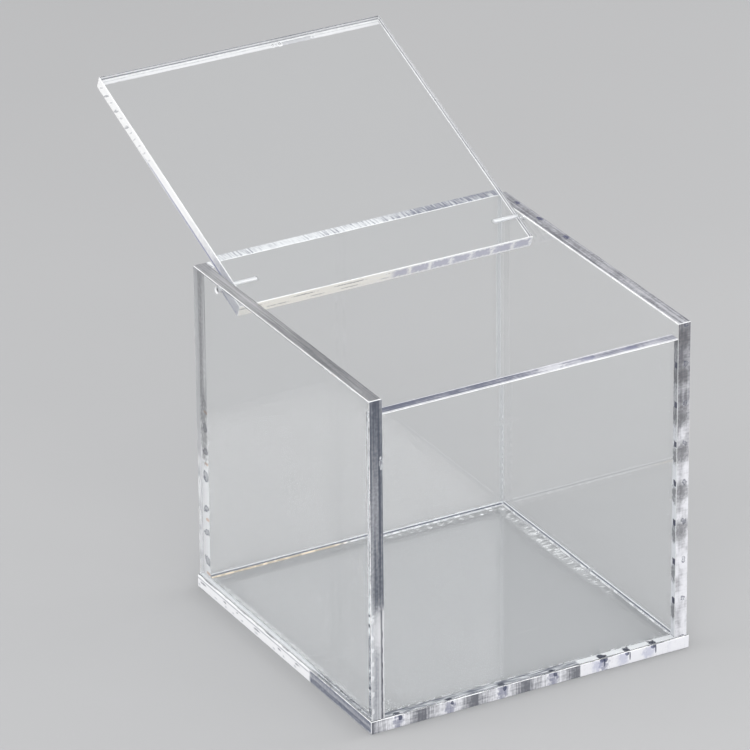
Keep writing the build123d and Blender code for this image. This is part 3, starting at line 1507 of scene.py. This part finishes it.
@dataclass
class OpenBox:
    """The base plate and the four walls that stand on it."""

    hinge: Hinge
    body: str = "box"
    slot: str = "clear_acrylic"
    bead_gap: float = HAIR
    looks: dict[str, dict[Side, EdgeLook]] = field(default_factory=lambda: {
        "base_plate": {
            LEFT: EdgeLook.BLUED, RIGHT: EdgeLook.PATCHED, FRONT: EdgeLook.GRADED, BACK: EdgeLook.GRADED,
        },
        "left_wall": {TOP: EdgeLook.STREAKED, FRONT: EdgeLook.BANDED, BACK: EdgeLook.POLISHED},
        "right_wall": {TOP: EdgeLook.MOTTLED, FRONT: EdgeLook.CLOUDED, BACK: EdgeLook.POLISHED},
        "front_wall": {TOP: EdgeLook.LINED},
        "back_wall": {TOP: EdgeLook.HATCHED},
    })
    feet: dict[str, JointLook] = field(default_factory=lambda: {
        "left_wall": JointLook.SPARKLED, "right_wall": JointLook.STRIPED,
        "front_wall": JointLook.DASHED, "back_wall": JointLook.STRIPED,
    })
    uprights: dict[str, dict[str, JointLook]] = field(default_factory=lambda: {
        "left_wall": {"front_wall": JointLook.FAINT, "back_wall": JointLook.GREYED},
        "right_wall": {"front_wall": JointLook.SPOTTED, "back_wall": JointLook.BORDERED},
    })
    smears: tuple[Smear, ...] = (
        Smear(Axis.Y, Axis.X, Spots.alone(
            62, 44.2, 3.6, 18, ragged=2.4, soft=0.8, colour=(0.93, 0.94, 0.95), strength=0.75,
        )),
        Smear(Axis.X, Axis.Y, Spots(
            3.4, 1.5, 44.3, 1.7, wander=9, low=4, ragged=4.0, colour=(0.95, 0.95, 0.97),
        )),
        Smear(Axis.Y, Axis.X, Spots.alone(
            96, -45.2, 1.6, ragged=3.0, soft=0.8, colour=(0.93, 0.94, 0.95), strength=0.6,
        )),
    )

    def panels(self) -> list[Panel]:
        """Sizes the five panels by the boxes of their nodes.

        Returns:
            The panels.
        """
        feet = tuple(Seam(TOP, *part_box(name), look) for name, look in self.feet.items())
        made = [Panel("base_plate", self.body, *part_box("base_plate"), Axis.Z, ALL_ROUND, seams=feet)]
        for name, inner, outer in (("left_wall", RIGHT, LEFT), ("right_wall", LEFT, RIGHT)):
            rims = tuple((TOP, side) for side in AROUND) + ((outer, FRONT), (outer, BACK))
            uprights = self.uprights[name].items()
            seams = tuple(Seam(inner, *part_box(other), look) for other, look in uprights)
            made.append(Panel(name, self.body, *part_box(name), Axis.X, rims, (BOTTOM,), seams))
        for name in ("front_wall", "back_wall"):
            rims, glued = ((TOP, FRONT), (TOP, BACK)), (BOTTOM, LEFT, RIGHT)
            made.append(Panel(name, self.body, *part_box(name), Axis.Y, rims, glued))
        return made

    def beads(self) -> list[Bead]:
        """Sizes the beads of cement along the four inner bottom corners.

        Returns:
            The beads.
        """
        gap = self.bead_gap
        near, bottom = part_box("front_wall")[1].y + gap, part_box("base_plate")[1].z + gap
        left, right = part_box("left_wall")[1].x + gap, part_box("right_wall")[0].x - gap
        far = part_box("back_wall")[0].y - gap
        wide, deep = right - left, far - near
        return [
            Bead("front_bead", Axis.X, Vector((left, near, bottom)), wide, (1, 1), 1),
            Bead("back_bead", Axis.X, Vector((left, far, bottom)), wide, (-1, 1), 2, tinted_to=0.0),
            Bead("left_bead", Axis.Y, Vector((left, near, bottom)), deep, (1, 1), 3),
            Bead("right_bead", Axis.Y, Vector((right, near, bottom)), deep, (-1, 1), 4),
        ]

    def drill(self, panel: Panel, piece: Object) -> None:
        """Drills a side wall's hinge hole.

        Args:
            panel: The wall.
            piece: Its mesh.
        """
        sign = -1 if panel.low.x < 0 else 1
        near, far = sorted((abs(panel.low.x), abs(panel.high.x)))
        cut_out(piece, self.hinge.wall_cutter(sign, near, far))

    def finishes(self) -> dict[str, Material]:
        """Makes the finishes that the panels share.

        Returns:
            The finishes, by their use.
        """
        arris = Arris("scraped_arris").material()
        return {
            "face": SheetFace("sheet_face").material(),
            "arris": arris,
            "upright": Arris("upright_arris", least_clear=0.2, most_clear=0.85).material(),
            "scraped": arris,
            "bore": DrilledBore("drilled_bore").material(),
            "cone": Countersink("countersink").material(),
            "glued": WettedFace("wetted_face").material(),
        }

    def build(self) -> None:
        """Builds, dresses and seats the panels, then runs the beads along their corners."""
        plain = self.finishes()
        low_arris = Arris("base_arris", least_clear=0.05, most_clear=0.85).material()
        for panel in self.panels():
            piece = panel.blank()
            panel.break_edges(piece)
            panel.mark_seams(piece)
            if panel.thin is Axis.X:
                self.drill(panel, piece)
            is_base = panel.node == "base_plate"
            finishes = plain | {"arris": low_arris} if is_base else plain
            looks = self.looks[panel.node]
            dressing = Dressing.of_looks(panel.node, looks, panel.thin, seams=panel.seams, **finishes)
            if is_base:
                dressing.edges[TOP] = SheetFace("base_upper_face", smears=self.smears).material()
            panel.dress(piece, dressing, self.hinge)
            panel.sit(piece, self.slot)
        for bead in self.beads():
            piece = bead.build(CementBead(bead.name + "_cement", bead.tinted_to).material())
            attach(piece, self.body)
            LOG.info("%s: %d faces, on body %s", piece.name, len(piece.data.polygons), self.body)


@dataclass
class HingedLid:
    """The lid, cut and drilled level over the box, then turned back to where it rests."""

    hinge: Hinge
    shell: Object
    body: str = "lid"
    slot: str = "clear_acrylic"
    node: str = "lid_panel"
    strip_width: float = 1.8 * MM
    strip_drop: float = 0.2 * MM
    nicks: tuple[tuple[float, float], ...] = ((10.3 * MM, 1.1 * MM), (12.6 * MM, 1.3 * MM))  # x, radius
    nick_inset: float = 1.0 * MM
    nick_depth: float = 0.35 * MM
    looks: dict[Side, EdgeLook] = field(default_factory=lambda: {
        LEFT: EdgeLook.TICKED, RIGHT: EdgeLook.RAILED, FRONT: EdgeLook.RAILED, BACK: EdgeLook.CREAMY,
    })

    def turn(self) -> float:
        """Finds the angle about X from level to rest, by the lid's largest downward face.

        Returns:
            The angle, in radians.
        """
        down = [polygon for polygon in self.shell.data.polygons if polygon.normal.z < -UPRIGHT]
        normal = max(down, key=lambda polygon: polygon.area).normal
        return math.atan2(-normal.y, normal.z)

    def about_hinge(self, angle: float) -> Matrix:
        """A turn about the hinge line."""
        to_line = Matrix.Translation(self.hinge.point)
        return to_line @ Matrix.Rotation(angle, 4, "X") @ to_line.inverted()

    def level_panel(self, turn: float) -> Panel:
        """Sizes the lid by its node's mesh, turned level.

        Args:
            turn: The angle from level to rest.

        Returns:
            The panel.
        """
        level = [self.about_hinge(-turn) @ vertex.co for vertex in self.shell.data.vertices]
        low, high = (Vector(limit(place[i] for place in level) for i in range(3)) for limit in (min, max))
        return Panel(self.node, self.body, low, high, Axis.Z, ALL_ROUND)

    def scrape(self, piece: Object, panel: Panel) -> None:
        """Slopes a narrow strip of the top face down towards the front edge.

        Args:
            piece: The lid, level.
            panel: Its sizes.
        """
        edit(piece)
        cut_across(Axis.Y, panel.low.y + self.strip_width)
        leave_edit()
        mesh = edit(piece)
        near, top = panel.low.y + SLIVER, panel.high.z - SLIVER
        pick(piece, mesh.verts, lambda vertex: vertex.co.y < near and vertex.co.z > top)
        bpy.ops.transform.translate(value=(0, 0, -self.strip_drop))
        leave_edit()

    def chip(self, piece: Object, panel: Panel) -> None:
        """Takes the small nicks out of the strip.

        Args:
            piece: The lid, level.
            panel: Its sizes.
        """
        strip = panel.high.z - self.strip_drop / 2
        for place, radius in self.nicks:
            cutter = add_solid(
                bpy.ops.mesh.primitive_uv_sphere_add, segments=24, ring_count=16, radius=radius,
                location=(place, panel.low.y + self.nick_inset, strip + radius - self.nick_depth),
            )
            cut_out(piece, cutter)

    def dressing(self, lie: Lie) -> Dressing:
        """Makes the lid's finishes, which lie as the lid does.

        Args:
            lie: How the lid lies.

        Returns:
            The dressing.
        """
        face = SheetFace("lid_face", lie).material()
        bore = DrilledBore("lid_bore", lie).material()
        arris = Arris("lid_arris", lie).material()
        scraped = CementJoint("lid_strip", JointLook.SCRAPED, Axis.X, Axis.Y, lie).material()
        return Dressing.of_looks(
            self.node, self.looks, Axis.Z, lie, face=face, glued=face, bore=bore, cone=bore, arris=arris,
            upright=arris, scraped=scraped,
        )

    def build(self) -> None:
        """Builds, dresses, turns and seats the lid."""
        turn = self.turn()
        panel = self.level_panel(turn)
        piece = panel.blank()
        self.scrape(piece, panel)
        panel.break_edges(piece)
        self.chip(piece, panel)
        for sign in (-1, 1):
            cut_out(piece, self.hinge.lid_cutter(sign, panel.high.x))
        panel.dress(piece, self.dressing(Lie(turn, self.hinge.point)), self.hinge)
        only(piece)
        piece.matrix_world = self.about_hinge(turn)
        settle(piece)
        panel.sit(piece, self.slot)


@dataclass
class HingePins:
    """The two steel pins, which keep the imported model's shapes."""

    nodes: dict[str, Object]
    names: tuple[str, ...] = ("left_hinge_pin", "right_hinge_pin")

    def dress(self) -> None:
        """Gives both pins their steel."""
        steel = PinSteel("pin_steel").material()
        for name in self.names:
            for slot in self.nodes[name].material_slots:
                slot.material = steel
            LOG.info("%s: steel", name)


@dataclass
class PhotoCamera:
    """The camera of the photograph, fitted to the box's corners in an image 750 wide and high."""

    focal_pixels: float = 6408.93
    image_pixels: float = 750.0
    sensor_mm: float = 36.0
    distance: float = 1.75255
    azimuth: float = math.radians(-28.901)
    elevation: float = math.radians(25.668)
    roll: float = math.radians(-0.539)
    target: Vector = field(default_factory=lambda: Vector((-0.0204045, 0, 0.079978)))
    nearest: float = 0.05
    farthest: float = 50.0

    def build(self) -> None:
        """Makes the camera and sets it as the scene's."""
        flat = math.cos(self.elevation)
        back = Vector((
            math.sin(self.azimuth) * flat, -math.cos(self.azimuth) * flat, math.sin(self.elevation),
        ))
        right = Vector((0, 0, 1)).cross(back).normalized()
        level = Matrix((right, back.cross(right), back)).transposed()
        turned = level @ Matrix.Rotation(self.roll, 3, "Z")
        data = bpy.data.cameras.new("photo_camera")
        data.sensor_width = self.sensor_mm
        data.lens = self.focal_pixels / self.image_pixels * self.sensor_mm
        data.clip_start = self.nearest
        data.clip_end = self.farthest
        camera = bpy.data.objects.new("photo_camera", data)
        bpy.context.scene.collection.objects.link(camera)
        place = Matrix.Translation(self.target + back * self.distance)
        camera.matrix_world = place @ turned.to_4x4()
        bpy.context.scene.camera = camera


@dataclass(frozen=True)
class SoftBox:
    """A large soft lamp, aimed at a point."""

    name: str
    place: tuple
    width: float
    height: float
    power: float
    aim: tuple = (0, 0, 0.05)
    mirrored: bool = False

    def build(self) -> None:
        """Makes the lamp, out of sight and, unless mirrored is set, out of the sheets' reflections."""
        data = bpy.data.lights.new(self.name, "AREA")
        data.shape = "RECTANGLE"
        data.size = self.width
        data.size_y = self.height
        data.energy = self.power
        lamp = bpy.data.objects.new(self.name, data)
        bpy.context.scene.collection.objects.link(lamp)
        lamp.location = self.place
        aim = Vector(self.aim) - Vector(self.place)
        lamp.rotation_euler = aim.to_track_quat("-Z", "Y").to_euler()
        lamp.visible_camera = False
        lamp.visible_transmission = self.mirrored
        lamp.visible_glossy = self.mirrored


@dataclass
class Studio:
    """The plain pale floor and the soft light round the box."""

    floor_size: float = 12.0
    floor_gap: float = 0.2 * MM
    horizon: Colour = (0.46, 0.465, 0.47)
    zenith: Colour = (0.7, 0.705, 0.71)
    bounces: int = 48
    clear_bounces: int = 64
    lamps: tuple[SoftBox, ...] = (
        SoftBox("front_soft", (-0.5, -1.3, 1.3), 1.4, 1.0, 19),
        SoftBox("left_soft", (-1.6, 0.3, 0.9), 0.9, 1.2, 13),
        SoftBox("right_soft", (1.5, -0.1, 0.8), 0.8, 1.2, 11),
        SoftBox("mirrored_soft", (0.784, -1.42, 0.83), 0.46, 0.4, 3, mirrored=True),
    )

    def build(self) -> None:
        """Lays the floor, sets the lamps and fills in the soft light all round."""
        bpy.ops.object.select_all(action="DESELECT")
        bpy.ops.mesh.primitive_plane_add(size=self.floor_size, location=(0, 0, -self.floor_gap))
        floor = bpy.context.object
        floor.name = "studio_floor"
        floor.data.materials.append(FloorPaint("floor_paint").material())
        for lamp in self.lamps:
            lamp.build()
        scene = bpy.context.scene
        scene.world = self.surround()
        scene.view_settings.view_transform = "Standard"
        scene.cycles.max_bounces = self.bounces
        scene.cycles.transmission_bounces = self.bounces
        scene.cycles.glossy_bounces = self.bounces
        scene.cycles.transparent_max_bounces = self.clear_bounces

    def surround(self) -> World:
        """Makes the soft light all round, brighter overhead than at the horizon.

        Returns:
            The world that gives it.
        """
        world = bpy.data.worlds.new("soft_surround")
        world.use_nodes = True
        tree = world.node_tree
        place = tree.nodes.new("ShaderNodeTexCoord")
        parts = tree.nodes.new("ShaderNodeSeparateXYZ")
        ramp = tree.nodes.new("ShaderNodeValToRGB")
        for element, colour in zip(ramp.color_ramp.elements, (self.horizon, self.zenith)):
            element.color = (*colour, 1.0)
        tree.links.new(place.outputs["Generated"], parts.inputs[0])
        tree.links.new(parts.outputs["Z"], ramp.inputs[0])
        tree.links.new(ramp.outputs[0], tree.nodes["Background"].inputs["Color"])
        return world


def main() -> None:
    """Builds the box, the lid, the pins and the studio in order."""
    logging.basicConfig(level=logging.INFO, format="%(message)s")
    hinge = Hinge.from_frame()
    OpenBox(hinge).build()
    HingedLid(hinge, frame["nodes"]["lid_panel"]).build()
    HingePins(frame["nodes"]).dress()
    PhotoCamera().build()
    Studio().build()


if __name__ == "__main__":
    main()
